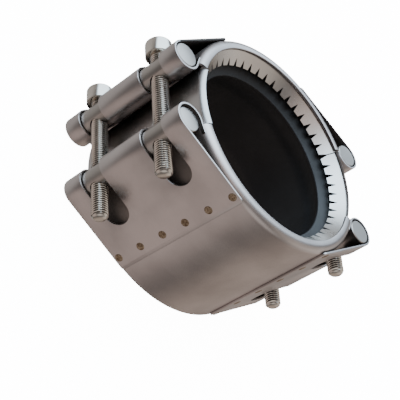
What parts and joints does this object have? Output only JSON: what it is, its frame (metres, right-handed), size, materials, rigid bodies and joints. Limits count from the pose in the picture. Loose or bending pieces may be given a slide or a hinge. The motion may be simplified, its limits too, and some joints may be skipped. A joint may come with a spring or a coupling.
{
  "type": "pipe repair clamp",
  "caption": "Two-piece stainless repair clamp with folded lock loops, cross bars, cap screws, toothed grip rings and a rubber sealing sleeve.",
  "frame": {"origin": "middle of the overall size at the back end face; the pipe axis passes 1.15 mm to +X of it", "axes": "+Z along the pipe axis from the back end to the front end, +X from the left lock to the right lock, +Y from the screws' ends to their heads"},
  "size_m": [0.1645, 0.139, 0.095],
  "materials": {
    "casing_steel": "brushed stainless sheet, warm grey",
    "bar_steel": "turned stainless bar with sawn ends",
    "screw_steel": "bright stainless screw",
    "bridge_steel": "smooth stainless strip",
    "ring_steel": "bright stamped stainless",
    "sleeve_rubber": "black moulded rubber"
  },
  "bodies": {
    "lower_half": {"lower_casing": "casing_steel", "lower_left_lock_bar": "bar_steel", "lower_right_lock_bar": "bar_steel"},
    "sealing_core": {"sealing_sleeve": "sleeve_rubber", "left_bridge_plate": "bridge_steel", "right_bridge_plate": "bridge_steel", "lower_back_grip_ring": "ring_steel", "lower_front_grip_ring": "ring_steel", "upper_back_grip_ring": "ring_steel", "upper_front_grip_ring": "ring_steel"},
    "upper_half": {"upper_casing": "casing_steel", "upper_left_lock_bar": "bar_steel", "upper_right_lock_bar": "bar_steel"},
    "screw_left_front": {"left_front_screw": "screw_steel"},
    "screw_left_back": {"left_back_screw": "screw_steel"},
    "screw_right_front": {"right_front_screw": "screw_steel"},
    "screw_right_back": {"right_back_screw": "screw_steel"}
  },
  "joints": [
    {"name": "core_slide", "type": "slide", "parent": "lower_half", "child": "sealing_core", "axis": [0, 1, 0], "range_m": [-0.0005, 0.012]},
    {"name": "clamp_slide", "type": "slide", "parent": "lower_half", "child": "upper_half", "axis": [0, 1, 0], "range_m": [-0.001, 0.024]},
    {"name": "left_front_screw_turn", "type": "hinge", "parent": "upper_half", "child": "screw_left_front", "pos_m": [-0.07291, 0, 0.0718], "axis": [0, 1, 0], "range_deg": [-240, 5760]},
    {"name": "left_back_screw_turn", "type": "hinge", "parent": "upper_half", "child": "screw_left_back", "pos_m": [-0.07291, 0, 0.0215], "axis": [0, 1, 0], "range_deg": [-240, 5760]},
    {"name": "right_front_screw_turn", "type": "hinge", "parent": "upper_half", "child": "screw_right_front", "pos_m": [0.0729, 0, 0.0718], "axis": [0, 1, 0], "range_deg": [-240, 5760]},
    {"name": "right_back_screw_turn", "type": "hinge", "parent": "upper_half", "child": "screw_right_back", "pos_m": [0.0729, 0, 0.0215], "axis": [0, 1, 0], "range_deg": [-240, 5760]}
  ],
  "couplings": [
    {"joint": "left_front_screw_turn", "follows": "clamp_slide", "rad_per_m": 4188.8},
    {"joint": "left_back_screw_turn", "follows": "clamp_slide", "rad_per_m": 4188.8},
    {"joint": "right_front_screw_turn", "follows": "clamp_slide", "rad_per_m": 4188.8},
    {"joint": "right_back_screw_turn", "follows": "clamp_slide", "rad_per_m": 4188.8},
    {"joint": "core_slide", "follows": "clamp_slide", "ratio": 0.5}
  ]
}
